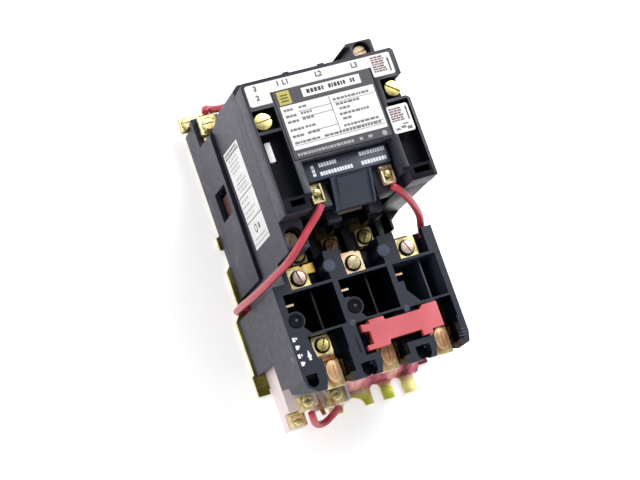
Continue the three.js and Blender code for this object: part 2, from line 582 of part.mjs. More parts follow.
const HEATER_CLAMP = { size: 10.6, headTop: 5.4 };
add('overload_housing', overloadHousing(), BLACK_PLASTIC);
RELAY_POLES.forEach((offset, i) => {
  const pole = i + 1;
  add(`strap_${pole}`, strap(i), BRASS);
  add(`strap_screw_${pole}`, clampScrew(UPPER.x + offset, UPPER.y, UPPER.seat + 0.1), BRASS);
  add(`output_lug_${pole}`, outputLug(offset), BRASS);
  add(`heater_screw_${pole}`, clampScrew(LOWER.x + offset, LOWER.y, LOWER.seat + 0.1, HEATER_CLAMP), BRASS);
  add(`output_screw_${pole}`, plainScrew(LUG.x + offset, LUG.y, 4.8, LUG.seat - 4, LUG.seat + 0.1, LUG.seat + 4), COPPER);
});
add('reset_bar', resetBar(), RED_PLASTIC);
add('reset_spring', coilSpring(RESET.x, RESET.y, 2.1, 0.35, 50.3, 57.7, 5), STEEL);
add('trip_slider', tripSlider(), BROWN_PLASTIC);
add('contact_block', contactBlock(), PALE_PLASTIC);
add('control_terminal_left', controlTerminalLeft(), BRASS);
add('control_terminal_right', controlTerminalRight(), BRASS);

for (const [name, points] of Object.entries(ROUTES)) {
  add(name, tube(points, WIRE_R, 8, points.length * 3), RED_WIRE);
}

export default starter;
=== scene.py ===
import math
import random

import bmesh
import bpy
from mathutils import Matrix, Vector


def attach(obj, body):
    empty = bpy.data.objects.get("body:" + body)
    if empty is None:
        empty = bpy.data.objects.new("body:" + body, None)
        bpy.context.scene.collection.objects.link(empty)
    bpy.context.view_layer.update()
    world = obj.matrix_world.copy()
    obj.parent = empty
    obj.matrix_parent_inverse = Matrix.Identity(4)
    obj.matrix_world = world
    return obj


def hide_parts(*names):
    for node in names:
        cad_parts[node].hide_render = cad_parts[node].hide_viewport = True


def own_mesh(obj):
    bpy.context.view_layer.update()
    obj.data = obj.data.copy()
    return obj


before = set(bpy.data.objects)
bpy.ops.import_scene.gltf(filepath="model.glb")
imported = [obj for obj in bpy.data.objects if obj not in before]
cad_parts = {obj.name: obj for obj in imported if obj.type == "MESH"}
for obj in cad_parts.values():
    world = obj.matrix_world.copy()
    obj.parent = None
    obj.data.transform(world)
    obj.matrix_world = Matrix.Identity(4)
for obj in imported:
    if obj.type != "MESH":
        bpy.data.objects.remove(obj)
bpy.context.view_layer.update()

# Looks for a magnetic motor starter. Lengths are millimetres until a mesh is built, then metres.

MM = 0.001

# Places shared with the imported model
POLES = (-17.8, 3.2, 24.2)
PITCH = 33.0
RELAY_OFFSETS = (0.0, PITCH, 2 * PITCH)
LINE_Y, LOAD_Y, STRIP_TOP = 71.8, -14.0, 41.3
COVER_FRONT = 118.0
LEFT_SIDE = -42.2
RELAY_FRONT = 80.6
RELAY_LEFT = -50.0
UPPER = (-32.0, -32.3, 71.6)
LOWER = (-31.2, -71.0, 70.0)
LUG = (-28.3, -85.8, 67.0)
BOSSES = ((-43.0, -55.2), (-8.3, -56.3))
NOTCHES = ((-44.9, -89.4, 3.2), (-11.9, -90.4, 4.2), (21.1, -90.4, 4.2))
COIL_FRONT = 111.6
COVER_SCREW_LEFT = (-35.9, 47.4)
COVER_SCREW_RIGHT = (41.5, 47.6)
EAR_SCREW = (37.0, 76.4)
LOBE_SCREW = (-36.4, -14.6)
COVER_SCREW_SEAT, COVER_SCREW_TOP = 112.5, 116.8
SHANK_RADIUS = 1.9
COIL_CLAMP_Y, COIL_SHELF = 3.6, 106.3
BLOCK_CLAMPS = ((-34.2, -92.4, 23.5, 3.9, 4.5), (-40, -99.8, 13.5, 3.4, 3.9), (-13.4, -92.4, 13.5, 3.9, 4.5))
WIRE_RADIUS = 2.1
CROSSBAR_TRAVEL, RESET_TRAVEL = 5.0, 3.5

# Planes that split a packed face where its paint changes (the panel's finish, the painted shade below the
# pockets, the lug bends): a point and a normal
PANEL_LEFT, PANEL_RIGHT, PANEL_TOP, PANEL_LOW = -41.0, 46.9, 54.2, 3.0
PANEL_CUTS = (((PANEL_LEFT, 0, 0), (1, 0, 0)), ((PANEL_RIGHT, 0, 0), (1, 0, 0)),
              ((0, PANEL_TOP, 0), (0, 1, 0)), ((0, PANEL_LOW, 0), (0, 1, 0)))
BEND_LOW, BEND_HIGH = -79.6, -76.8
BEND_CUTS = (((0, BEND_LOW, 0), (0, 1, 0)), ((0, BEND_HIGH, 0), (0, 1, 0)))

# Mesh clean-up
SHARP = math.radians(32)
FLAT = math.radians(0.8)
WELD = 0.004


# Mesh building

class Shape:
    """A mesh under construction, in millimetres."""

    def __init__(self):
        self.bm = bmesh.new()

    def prism(self, outline, z0, z1, paint=0):
        low = [self.bm.verts.new((x, y, z0)) for x, y in outline]
        high = [self.bm.verts.new((x, y, z1)) for x, y in outline]
        count = len(outline)
        faces = [self.bm.faces.new(low[::-1]), self.bm.faces.new(high)]
        for i in range(count):
            j = (i + 1) % count
            faces.append(self.bm.faces.new((low[i], low[j], high[j], high[i])))
        for face in faces:
            face.material_index = paint

    def box(self, x0, x1, y0, y1, z0, z1, paint=0):
        self.prism([(x0, y0), (x1, y0), (x1, y1), (x0, y1)], z0, z1, paint)

    def hull(self, points, paint=0):
        verts = [self.bm.verts.new(p) for p in points]
        made = bmesh.ops.convex_hull(self.bm, input=verts)
        for item in made["geom"]:
            if isinstance(item, bmesh.types.BMFace):
                item.material_index = paint
        loose = [v for v in verts if v.is_valid and not v.link_faces]
        bmesh.ops.delete(self.bm, geom=loose, context="VERTS")

    def lathe(self, x, y, profile, paint=0, segments=40):
        """Turns (radius, z) steps about a line along Z. A closed profile makes a ring."""
        rings = []
        for radius, z in profile:
            rings.append([self.bm.verts.new((px, py, z)) for px, py in ring_points(x, y, radius, segments)])
        faces = []
        for low, high in zip(rings, rings[1:]):
            for i in range(segments):
                j = (i + 1) % segments
                faces.append(self.bm.faces.new((low[i], low[j], high[j], high[i])))
        faces += [self.bm.faces.new(rings[0][::-1]), self.bm.faces.new(rings[-1])]
        for face in faces:
            face.material_index = paint

    def quads(self, place, rects, paint=0):
        """Flat marks: each (u0, u1, v0, v1) is put on a face by place(u, v)."""
        for u0, u1, v0, v1 in rects:
            corners = [self.bm.verts.new(place(u, v)) for u, v in ((u0, v0), (u1, v0), (u1, v1), (u0, v1))]
            self.bm.faces.new(corners).material_index = paint

    def outline(self, place, points, paint=0):
        self.bm.faces.new([self.bm.verts.new(place(u, v)) for u, v in points]).material_index = paint

    def build(self, name, body, materials, bevel=0.0, replaces=(), recalc=True):
        if recalc:
            bmesh.ops.recalc_face_normals(self.bm, faces=self.bm.faces)
        self.bm.transform(Matrix.Scale(MM, 4))
        mesh = bpy.data.meshes.new(name)
        self.bm.to_mesh(mesh)
        self.bm.free()
        return place_piece(name, mesh, body, materials, bevel, replaces)


def place_piece(name, mesh, body, materials, bevel, replaces):
    piece = bpy.data.objects.new(name, mesh)
    bpy.context.collection.objects.link(piece)
    for material in materials:
        mesh.materials.append(material)
    for polygon in mesh.polygons:
        polygon.use_smooth = True
    if bevel:
        edges = piece.modifiers.new("soft edges", "BEVEL")
        edges.width = bevel * MM
        edges.segments = 2
        edges.limit_method = "ANGLE"
        edges.angle_limit = SHARP
        edges.harden_normals = True
    else:
        mesh.set_sharp_from_angle(angle=SHARP)
    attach(piece, body)
    if replaces:
        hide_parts(*replaces)
    return piece


def refined(node, name, body, materials, bevel, paint=(), cuts=()):
    """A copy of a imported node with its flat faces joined, split along cuts and its edges softened."""
    bm = bmesh.new()
    bm.from_mesh(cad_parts[node].data)
    bm.transform(Matrix.Scale(1 / MM, 4))
    bmesh.ops.remove_doubles(bm, verts=bm.verts, dist=WELD)
    bmesh.ops.dissolve_limit(bm, angle_limit=FLAT, use_dissolve_boundaries=False,
                             verts=bm.verts[:], edges=bm.edges[:])
    for place, normal in cuts:
        everything = bm.verts[:] + bm.edges[:] + bm.faces[:]
        bmesh.ops.bisect_plane(bm, geom=everything, plane_co=place, plane_no=normal)
    for face in bm.faces:
        face.material_index = 0
        for index, test in paint:
            if test(face.calc_center_median(), face.normal):
                face.material_index = index
    bm.transform(Matrix.Scale(MM, 4))
    mesh = bpy.data.meshes.new(name)
    bm.to_mesh(mesh)
    bm.free()
    return place_piece(name, mesh, body, materials, bevel, (node,))


def rounded(x0, x1, y0, y1, radius, steps=5):
    corners = ((x1 - radius, y0 + radius, -90), (x1 - radius, y1 - radius, 0),
               (x0 + radius, y1 - radius, 90), (x0 + radius, y0 + radius, 180))
    points = []
    for cx, cy, start in corners:
        for i in range(steps + 1):
            angle = math.radians(start + 90 * i / steps)
            points.append((cx + radius * math.cos(angle), cy + radius * math.sin(angle)))
    return points


def ring_points(x, y, radius, steps=28):
    turn = [2 * math.pi * i / steps for i in range(steps)]
    return [(x + radius * math.cos(a), y + radius * math.sin(a)) for a in turn]


# Materials

def shader_material(name, color, roughness, metallic=0.0, **sockets):
    material = bpy.data.materials.new(name)
    material.use_nodes = True
    shader = material.node_tree.nodes["Principled BSDF"]
    shader.inputs["Base Color"].default_value = (*color, 1)
    shader.inputs["Roughness"].default_value = roughness
    shader.inputs["Metallic"].default_value = metallic
    for socket, value in sockets.items():
        shader.inputs[socket.replace("_", " ")].default_value = value
    return material


def noise(material, scale, detail=3.0, stretch=(1, 1, 1)):
    """Noise in the object's own space. scale is in features per metre."""
    tree = material.node_tree
    place = tree.nodes.new("ShaderNodeTexCoord")
    mapping = tree.nodes.new("ShaderNodeMapping")
    mapping.inputs["Scale"].default_value = stretch
    texture = tree.nodes.new("ShaderNodeTexNoise")
    texture.inputs["Scale"].default_value = scale
    texture.inputs["Detail"].default_value = detail
    tree.links.new(place.outputs["Object"], mapping.inputs["Vector"])
    tree.links.new(mapping.outputs["Vector"], texture.inputs["Vector"])
    return texture.outputs["Fac"]


def ramp(material, factor, stops):
    tree = material.node_tree
    node = tree.nodes.new("ShaderNodeValToRGB")
    elements = node.color_ramp.elements
    while len(elements) < len(stops):
        elements.new(0.5)
    for element, (position, color) in zip(elements, stops):
        element.position = position
        element.color = (*color, 1)
    tree.links.new(factor, node.inputs["Fac"])
    return node.outputs["Color"]


def tinted(material, factor, stops):
    shader = material.node_tree.nodes["Principled BSDF"]
    material.node_tree.links.new(ramp(material, factor, stops), shader.inputs["Base Color"])


def spread(material, socket, factor, low, high):
    tree = material.node_tree
    node = tree.nodes.new("ShaderNodeMapRange")
    node.inputs["From Min"].default_value = 0.3
    node.inputs["From Max"].default_value = 0.7
    node.inputs["To Min"].default_value = low
    node.inputs["To Max"].default_value = high
    tree.links.new(factor, node.inputs["Value"])
    tree.links.new(node.outputs["Result"], tree.nodes["Principled BSDF"].inputs[socket])


def relief(material, factor, depth, strength=1.0):
    """Bump of the given depth in millimetres, chained on any bump already there."""
    tree = material.node_tree
    shader = tree.nodes["Principled BSDF"]
    node = tree.nodes.new("ShaderNodeBump")
    node.inputs["Distance"].default_value = depth * MM
    node.inputs["Strength"].default_value = strength
    tree.links.new(factor, node.inputs["Height"])
    if shader.inputs["Normal"].is_linked:
        tree.links.new(shader.inputs["Normal"].links[0].from_socket, node.inputs["Normal"])
    tree.links.new(node.outputs["Normal"], shader.inputs["Normal"])


def shade(color, factor):
    return tuple(min(1.0, channel * factor) for channel in color)


def moulded(name, color, roughness, grain=0.02, spread_by=0.12, **sockets):
    """Moulded plastic: spark-eroded grain, faint flow marks, uneven gloss."""
    material = shader_material(name, color, roughness, **sockets)
    flow = noise(material, 45, 4, (1, 1, 2.5))
    tinted(material, flow, [(0.3, shade(color, 1 - spread_by)), (0.7, shade(color, 1 + spread_by))])
    spread(material, "Roughness", noise(material, 260, 3), roughness * 0.88, min(1, roughness * 1.12))
    relief(material, noise(material, 1900, 2), grain, 0.6)
    return material


def plated(name, dark, light, roughness, patches=110, metallic=1.0):
    """Plated metal: tone that drifts in patches, fine rolling scratches. Lacquered metal is less metallic."""
    material = shader_material(name, light, roughness, metallic)
    tinted(material, noise(material, patches, 4), [(0.34, dark), (0.5, shade(light, 0.92)), (0.66, light)])
    spread(material, "Roughness", noise(material, 420, 3), roughness * 0.75, roughness * 1.3)
    relief(material, noise(material, 900, 2, (1, 6, 1)), 0.012, 0.5)
    return material


def along(material, axis, low, high):
    """0 below one place along an axis and 1 above another, in millimetres."""
    tree = material.node_tree
    place = tree.nodes.new("ShaderNodeTexCoord")
    split = tree.nodes.new("ShaderNodeSeparateXYZ")
    step = tree.nodes.new("ShaderNodeMapRange")
    step.inputs["From Min"].default_value = low * MM
    step.inputs["From Max"].default_value = high * MM
    tree.links.new(place.outputs["Object"], split.inputs[0])
    tree.links.new(split.outputs[axis], step.inputs["Value"])
    return step.outputs["Result"]


def mixed(material, factor, first, second):
    tree = material.node_tree
    node = tree.nodes.new("ShaderNodeMix")
    node.data_type = "RGBA"
    tree.links.new(factor, node.inputs["Factor"])
    tree.links.new(first, node.inputs["A"])
    tree.links.new(second, node.inputs["B"])
    return node.outputs["Result"]


def dichromate():
    """Zinc dichromate: yellow-green at the feet, plum on the raised step, dark olive up the sides."""
    material = shader_material("zinc_dichromate", (0.6, 0.55, 0.15), 0.34, 1.0)
    links = material.node_tree.links
    patches = noise(material, 60, 4)
    feet = ramp(material, patches, [(0.3, (0.42, 0.46, 0.05)), (0.48, (0.72, 0.70, 0.12)),
                                    (0.6, (0.90, 0.82, 0.36)), (0.72, (0.50, 0.60, 0.12))])
    plum_stops = [(0.36, (0.14, 0.03, 0.05)), (0.5, (0.48, 0.14, 0.18)), (0.60, (0.72, 0.38, 0.36)),
                  (0.70, (0.84, 0.62, 0.50))]
    plum = ramp(material, noise(material, 46, 3, (2, 1, 1)), plum_stops)
    olive = ramp(material, patches, [(0.35, (0.10, 0.09, 0.02)), (0.55, (0.26, 0.24, 0.06)),
                                     (0.7, (0.40, 0.36, 0.16))])
    lower = mixed(material, along(material, "Y", -97.0, -91.0), feet, plum)
    color = mixed(material, along(material, "Y", -80, -74), lower, olive)
    color = mixed(material, along(material, "X", -22, -17), olive, color)
    links.new(color, material.node_tree.nodes["Principled BSDF"].inputs["Base Color"])
    spread(material, "Roughness", noise(material, 300, 3), 0.30, 0.5)
    relief(material, noise(material, 800, 2, (1, 5, 1)), 0.008, 0.5)
    return material


def printed(name, color, roughness=0.5):
    """Printed film or paper: nearly even, faintly mottled."""
    material = shader_material(name, color, roughness)
    tinted(material, noise(material, 160, 3), [(0.3, shade(color, 0.95)), (0.7, shade(color, 1.03))])
    relief(material, noise(material, 1200, 2), 0.004, 0.4)
    return material


def laminated():
    """Stacked iron sheets: fine bands along X."""
    material = shader_material("laminated_iron", (0.3, 0.3, 0.32), 0.42, 1.0)
    bands = noise(material, 120, 2, (14, 0.4, 0.4))
    tinted(material, bands, [(0.35, (0.14, 0.13, 0.13)), (0.6, (0.42, 0.42, 0.44))])
    relief(material, bands, 0.06, 0.7)
    return material


GREY = moulded("textured_grey", (0.037, 0.034, 0.055), 0.5, 0.02)
# Painted shade: the textured grey made darker for faces that face front.
SHADED_FRONT_GREY = moulded("textured_grey_front_shaded", (0.019, 0.018, 0.030), 0.5, 0.016, Specular_IOR_Level=0.4)
FRONT = moulded("satin_blue_black", (0.012, 0.014, 0.024), 0.42, 0.010, Specular_IOR_Level=0.35)
# Polished near-black: the real colour of the parting lines and slots, and painted shade in wells, screw
# holes, saddle wells, bays and notches.
GLOSS_BLACK_AND_SHADE = moulded("polished_black_and_shade", (0.003, 0.004, 0.009), 0.34, 0.003, Specular_IOR_Level=0.25)
# Painted shade: near-black with little specular, for the cover's pockets and the panel below them, the knobs'
# dishes and the notch floors.
RECESS_SHADE = moulded("recess_shade_black", (0.003, 0.004, 0.008), 0.6, 0.010, Specular_IOR_Level=0.12)
RELAY = moulded("relay_blue_black", (0.009, 0.013, 0.027), 0.42, 0.012, Specular_IOR_Level=0.36)
POLISH = moulded("polished_navy", (0.006, 0.008, 0.015), 0.15, 0.002, Specular_IOR_Level=0.5)
TAUPE = moulded("taupe", (0.090, 0.060, 0.055), 0.5, 0.012)
SLATE = moulded("slate_blue", (0.030, 0.038, 0.062), 0.45, 0.012)
POST = moulded("slate_blue_light", (0.036, 0.050, 0.085), 0.5, 0.012)
TAPE = moulded("winding_tape", (0.20, 0.15, 0.12), 0.6, 0.05, 0.5)
BROWN = moulded("red_brown", (0.070, 0.022, 0.018), 0.5, 0.02, 0.2)
CORAL = moulded("coral_red", (0.60, 0.125, 0.150), 0.5, 0.012, 0.08, Specular_IOR_Level=0.3)
# Painted shade: a darker, deeper red for the reset bar's upright faces.
CORAL_SHADED = moulded("coral_red_shaded", (0.56, 0.040, 0.045), 0.5, 0.012, 0.08)
BLUSH = moulded("blush_white", (0.90, 0.76, 0.76), 0.4, 0.012, 0.06)
WHITE = moulded("white_plastic", (0.80, 0.80, 0.80), 0.4, 0.008, 0.03)
WIRE = moulded("wire_insulation", (0.50, 0.045, 0.070), 0.3, 0.006, 0.1, Coat_Weight=0.25)
BRASS = plated("pale_brass", (0.30, 0.20, 0.06), (0.78, 0.68, 0.36), 0.34)
YELLOW_BRASS = plated("cream_brass", (0.60, 0.36, 0.13), (0.97, 0.84, 0.46), 0.4, patches=210, metallic=0.25)
DULL_BRASS = plated("dull_brass", (0.24, 0.19, 0.09), (0.45, 0.39, 0.22), 0.42)
SATIN_BRASS = plated("satin_brass", (0.66, 0.44, 0.24), (0.97, 0.80, 0.58), 0.45, metallic=0.2)
GOLD = plated("yellow_brass", (0.34, 0.19, 0.03), (0.72, 0.50, 0.14), 0.34)
OLIVE_BRASS = plated("olive_brass", (0.36, 0.31, 0.09), (0.63, 0.56, 0.24), 0.34)
ROSE_BRASS = plated("rose_brass", (0.54, 0.22, 0.15), (0.78, 0.62, 0.42), 0.34, patches=90)
SILVER = plated("pink_silver", (0.36, 0.25, 0.22), (0.72, 0.58, 0.52), 0.36)
COPPER = plated("lug_copper", (0.60, 0.32, 0.16), (0.94, 0.60, 0.34), 0.42, metallic=0.4)
TAN_COPPER = plated("tan_copper", (0.16, 0.08, 0.04), (0.90, 0.66, 0.44), 0.42, patches=240, metallic=0.5)
COPPER_DEEP = plated("bend_copper", (0.24, 0.09, 0.04), (0.84, 0.38, 0.14), 0.4, patches=190, metallic=0.6)
# Painted shade: a dark copper for copper parts in shade.
SHADED_COPPER = plated("shaded_copper", (0.08, 0.03, 0.02), (0.62, 0.34, 0.17), 0.4, patches=240, metallic=0.4)
# Painted shade: dark brass for metal deep in the housings.
SHADED = plated("shaded_brass", (0.05, 0.03, 0.02), (0.22, 0.16, 0.08), 0.4)
STEEL = plated("spring_steel", (0.4, 0.4, 0.42), (0.7, 0.7, 0.72), 0.3)
ZINC = dichromate()
IRON = laminated()
PAPER = printed("label_white", (0.76, 0.76, 0.76))
BAND = printed("label_grey", (0.040, 0.037, 0.046), 0.5)
INK = printed("ink_black", (0.03, 0.03, 0.035), 0.6)
INK_GREY = printed("ink_grey", (0.17, 0.16, 0.17), 0.6)
INK_RED = printed("ink_rust", (0.22, 0.06, 0.06), 0.6)
INK_PALE = printed("ink_pale", (0.34, 0.34, 0.36), 0.6)
INK_BLUISH = printed("ink_bluish", (0.74, 0.78, 0.88), 0.6)
YELLOW = printed("tile_yellow", (0.46, 0.40, 0.06), 0.45)
OLIVE = printed("tile_olive", (0.10, 0.085, 0.012), 0.5)


# Fasteners

def turned(x, y, u, v, angle):
    cosine, sine = math.cos(angle), math.sin(angle)
    return x + u * cosine - v * sine, y + u * sine + v * cosine


def screw_head(shape, x, y, radius, z0, z1, angle=20.0, slot=1.2, depth=1.3, dome=0.5, paint=0):
    """A slotted head: a turned disc with two domed lobes, and the slot between them."""
    angle = math.radians(angle)
    foot = z1 - depth
    shape.lathe(x, y, [(radius * 0.96, z0), (radius, z0 + 0.25), (radius, foot)], paint)
    for side in (-1, 1):
        points = []
        for i in range(13):
            for share in (0.0, 0.35, 0.7, 0.92, 1.0):
                start = math.asin(slot / 2 / radius)
                arc = start + (math.pi - 2 * start) * i / 12
                u = radius * math.cos(arc)
                v = slot / 2 + (radius * math.sin(arc) - slot / 2) * share
                fall = dome * (u * u + v * v) / radius ** 2
                px, py = turned(x, y, u, side * v, angle)
                points.append((px, py, z1 - fall - (0.25 if share == 1.0 else 0.0)))
                points.append((px, py, foot - 0.2))
        shape.hull(points, paint)


def saddle(shape, x, y, size, z0, z1, hole):
    """A square clamp plate with rolled corners in paint 0, and a round well for the head in paint 1, painted
    near-black as shade.
    """
    half = size / 2
    outer = rounded(x - half, x + half, y - half, y + half, 1.0, 3)
    ring = ring_points(x, y, hole, 40)
    shape.prism(outer, z0, z1 - 1.0)
    top = [shape.bm.verts.new((px, py, z1)) for px, py in outer]
    low = [shape.bm.verts.new((px, py, z1 - 1.0)) for px, py in outer]
    lip = [shape.bm.verts.new((px, py, z1)) for px, py in ring]
    floor = [shape.bm.verts.new((px, py, z1 - 0.95)) for px, py in ring]
    for loop, other, index in ((low, top, 0), (lip, floor, 1)):
        for i in range(len(loop)):
            j = (i + 1) % len(loop)
            shape.bm.faces.new((loop[i], loop[j], other[j], other[i])).material_index = index
    shape.bm.faces.new(floor).material_index = 1
    edges = []
    for loop in (top, lip):
        edges += [shape.bm.edges.get((loop[i], loop[(i + 1) % len(loop)])) for i in range(len(loop))]
    bmesh.ops.triangle_fill(shape.bm, edges=edges, use_beauty=True)


def terminal(name, node, slot, place, size, head, top, angle, plate_paint, head_paint):
    """A terminal screw on its saddle clamp, at a place (x, y, seat)."""
    x, y, seat = place
    height = 3.2
    shape = Shape()
    saddle(shape, x, y, size, seat, seat + height, head + 1.0)
    screw_head(shape, x, y, head, seat + height - 0.9, seat + top, angle, slot=head * 0.24, dome=0.35,
               paint=2)
    shape.lathe(x, y, [(SHANK_RADIUS, seat - 0.9), (SHANK_RADIUS, seat + 0.2)], 2, 16)
    shape.build(name, "starter", [plate_paint, GLOSS_BLACK_AND_SHADE, head_paint], bevel=0.22, replaces=(node,))


def screws():
    # Pole 2's load clamp is all shaded copper: painted shadow under the coil.
    load_paints = ((BRASS, OLIVE_BRASS), (SHADED_COPPER, SHADED_COPPER), (BRASS, OLIVE_BRASS))
    for pole, x, paints in zip((1, 2, 3), POLES, load_paints):
        seat = STRIP_TOP + 0.3
        terminal(f"line_clamp_{pole}", f"line_screw_{pole}", "screw_brass", (x, LINE_Y, seat),
                 10, 3.6, 5, 70, BRASS, BRASS)
        terminal(f"load_clamp_{pole}", f"load_screw_{pole}", "screw_brass", (x, LOAD_Y, seat),
                 10, 3.8, 5, 52, *paints)
    upper_paints = ((BRASS, SILVER), (ROSE_BRASS, DULL_BRASS), (BRASS, SILVER))
    for pole, offset, angle, paints in zip((1, 2, 3), RELAY_OFFSETS, (100, 35, 110), upper_paints):
        terminal(f"upper_clamp_{pole}", f"strap_screw_{pole}", "saddle_brass",
                 (UPPER[0] + offset, UPPER[1], UPPER[2] + 0.1), 12, 3.8, 5.6, angle, *paints)
        terminal(f"lower_clamp_{pole}", f"heater_screw_{pole}", "saddle_brass",
                 (LOWER[0] + offset, LOWER[1], LOWER[2] + 0.1), 10.6, 3.5, 5.3, 60, BRASS, OLIVE_BRASS)
        lug_screw(pole, LUG[0] + offset)
    plain_screw("cover_screw_l", "cover_screw_left", *COVER_SCREW_LEFT, 5.0,
                COVER_SCREW_SEAT, COVER_SCREW_TOP, 8, OLIVE_BRASS)
    plain_screw("cover_screw_r", "cover_screw_right", *COVER_SCREW_RIGHT, 4.6,
                COVER_SCREW_SEAT, COVER_SCREW_TOP, -38, OLIVE_BRASS)
    plain_screw("ear_screw", "housing_screw_top", *EAR_SCREW, 4.0, 96.8, 101.0, 15, SATIN_BRASS)
    plain_screw("lobe_screw", "housing_screw_bottom", *LOBE_SCREW, 4.2, 92.3, 96.5, 60, SATIN_BRASS)


def plain_screw(name, node, x, y, radius, z0, z1, angle, paint):
    shape = Shape()
    screw_head(shape, x, y, radius, z0, z1, angle, slot=1.15, depth=1.5, dome=0.45)
    shape.lathe(x, y, [(SHANK_RADIUS, z0 - 30), (SHANK_RADIUS, z0 + 0.1)], 0, 16)
    shape.build(name, "starter", [paint], bevel=0.25, replaces=(node,))


def lug_screw(pole, x):
    """A copper load screw with a long oval head."""
    y, seat = LUG[1], LUG[2]
    shape = Shape()
    screw_head(shape, x, y, 4.8, seat + 0.1, seat + 4, 84, slot=0.7, depth=0.9, dome=1.3)
    for vert in shape.bm.verts:
        vert.co.x = x + (vert.co.x - x) * 0.86
        vert.co.y = y + (vert.co.y - y) * 1.3
    shape.lathe(x, y, [(SHANK_RADIUS, seat - 3), (SHANK_RADIUS, seat + 0.2)], 0, 16)
    shape.build(f"lug_screw_{pole}", "starter", [COPPER], bevel=0.25,
                replaces=(f"output_screw_{pole}",))


def small_terminals():
    """Coil terminals: a narrow clamp with rolled sides over a wider tongue."""
    y, shelf = COIL_CLAMP_Y, COIL_SHELF
    for name, node, x, paint in (("coil_clamp_l", "coil_terminal_left", -17.9, DULL_BRASS),
                                 ("coil_clamp_r", "coil_terminal_right", 24.4, TAN_COPPER)):
        shape = Shape()
        shape.prism(rounded(x - 3.4, x + 3.4, y - 5.4, y + 5.6, 0.6, 3), shelf, shelf + 1.2)
        for side in (-1, 1):
            inner, outer = sorted((x + side * 2.5, x + side * 3.5))
            shape.prism(rounded(inner, outer, y - 4.6, y + 4.8, 0.4, 2), shelf + 1.0, shelf + 3.3)
        shape.box(x - 3.4, x + 3.4, y - 5.4, y - 4.2, shelf + 1.0, shelf + 2.5)
        # A dark brass ring under the head: painted shade.
        shape.lathe(x, y, [(2.5, shelf + 1.0), (2.5, shelf + 1.6)], 2, 28)
        screw_head(shape, x, y, 2.1, shelf + 1.5, shelf + 4.1, 15, slot=0.7, depth=1.0, dome=0.4, paint=1)
        shape.build(name, "starter", [paint, OLIVE_BRASS, SHADED], bevel=0.25,
                    replaces=(node,))


# Housings. Each test takes the centre and normal of a packed face and says whether a paint covers it: a
# finish, painted shade or a painted highlight.

def faces_front(center, normal):
    return normal.z > 0.7


def faces_left(center, normal):
    return normal.x < -0.7


def upright(center, normal):
    return abs(normal.z) < 0.5


def in_base_well(center, normal):
    return -43.5 < center.x < 48 and -21.5 < center.y < 78.2 and center.z > 12


def in_cover_pocket(center, normal):
    if center.z > COVER_FRONT - 0.5:
        return False
    left = -41.4 < center.x < -27.3
    right = 34.0 < center.x < 48.8
    return (left or right) and -2.5 < center.y < 54


def on_cover_panel(center, normal):
    return faces_front(center, normal) and PANEL_LEFT < center.x < PANEL_RIGHT and center.y < PANEL_TOP


def below_pockets(center, normal):
    return on_cover_panel(center, normal) and center.y < PANEL_LOW


def in_housing_well(center, normal):
    return -40 < center.x < 46.5 and -11 < center.y < 67 and center.z < 103


def in_lobe_hole(center, normal):
    return any(math.hypot(center.x - x, center.y - y) < 5.4 for x, y in (EAR_SCREW, LOBE_SCREW))


def outside_relay(center, normal):
    west = center.x < -49.5
    east = center.x > 48
    north = center.y > -24.6 and upright(center, normal)
    return west or east or north or center.z < 52


def in_bay(center, normal):
    offset = (center.x + 45.7) % PITCH
    return -64.5 < center.y < -39.5 and 44 < center.z < 76 and -46 < center.x < 47 and offset < 30


def in_third_bay(center, normal):
    return in_bay(center, normal) and center.x > 20


def in_lug_pocket(center, normal):
    offset = (center.x + 39.0) % PITCH
    inside = -95 < center.y < -64.5 and 52 < center.z < 80 and -40 < center.x < 48
    return inside and offset < 20.5 and upright(center, normal)


def in_wire_notch(center, normal):
    offset = (center.x + 49.1) % PITCH
    return center.y < -86 and center.z < 79 and center.x < 30 and offset < 8.4


def on_bend(center, normal):
    return BEND_LOW < center.y < BEND_HIGH


def on_riser(center, normal):
    return center.z < 66 or upright(center, normal)


def on_indicator_tab(center, normal):
    return center.z > 60


def housings():
    # The base's well is painted a darker satin black: painted shade.
    refined("contactor_base", "base_moulding", "starter", [GREY, FRONT], 0.35,
            [(1, in_base_well)])
    # Its front faces take the shaded grey, and its well and screw holes the near-black: both painted shade.
    refined("arc_housing", "housing_moulding", "starter", [GREY, GLOSS_BLACK_AND_SHADE, SHADED_FRONT_GREY], 0.4,
            [(2, faces_front), (1, in_housing_well), (1, in_lobe_hole)])
    # Its front faces take the shaded grey; its pockets, and the panel below them, are near-black painted
    # shade.
    refined("front_cover", "cover_moulding", "starter", [GREY, RECESS_SHADE, SHADED_FRONT_GREY, FRONT], 0.4,
            [(2, faces_front), (3, on_cover_panel), (1, in_cover_pocket), (1, below_pockets)], PANEL_CUTS)
    refined("coil", "coil_block", "starter", [FRONT], 0.3)
    refined("coil_cover", "coil_front", "starter", [SLATE], 0.45)
    # Its bays and wire notches are near-black painted shade; the third bay's walls are a lighter slate,
    # painted light.
    refined("overload_housing", "relay_moulding", "starter",
            [RELAY, GREY, GLOSS_BLACK_AND_SHADE, POLISH, SLATE], 0,
            [(1, outside_relay), (3, in_lug_pocket), (2, in_bay), (4, in_third_bay), (2, in_wire_notch)])
    refined("contact_block", "control_block", "starter", [BLUSH], 0.5)
    # Its left-facing faces are a cream brass: a painted highlight.
    refined("mounting_plate", "back_plate", "starter", [ZINC, YELLOW_BRASS], 0.3,
            [(1, faces_left)])


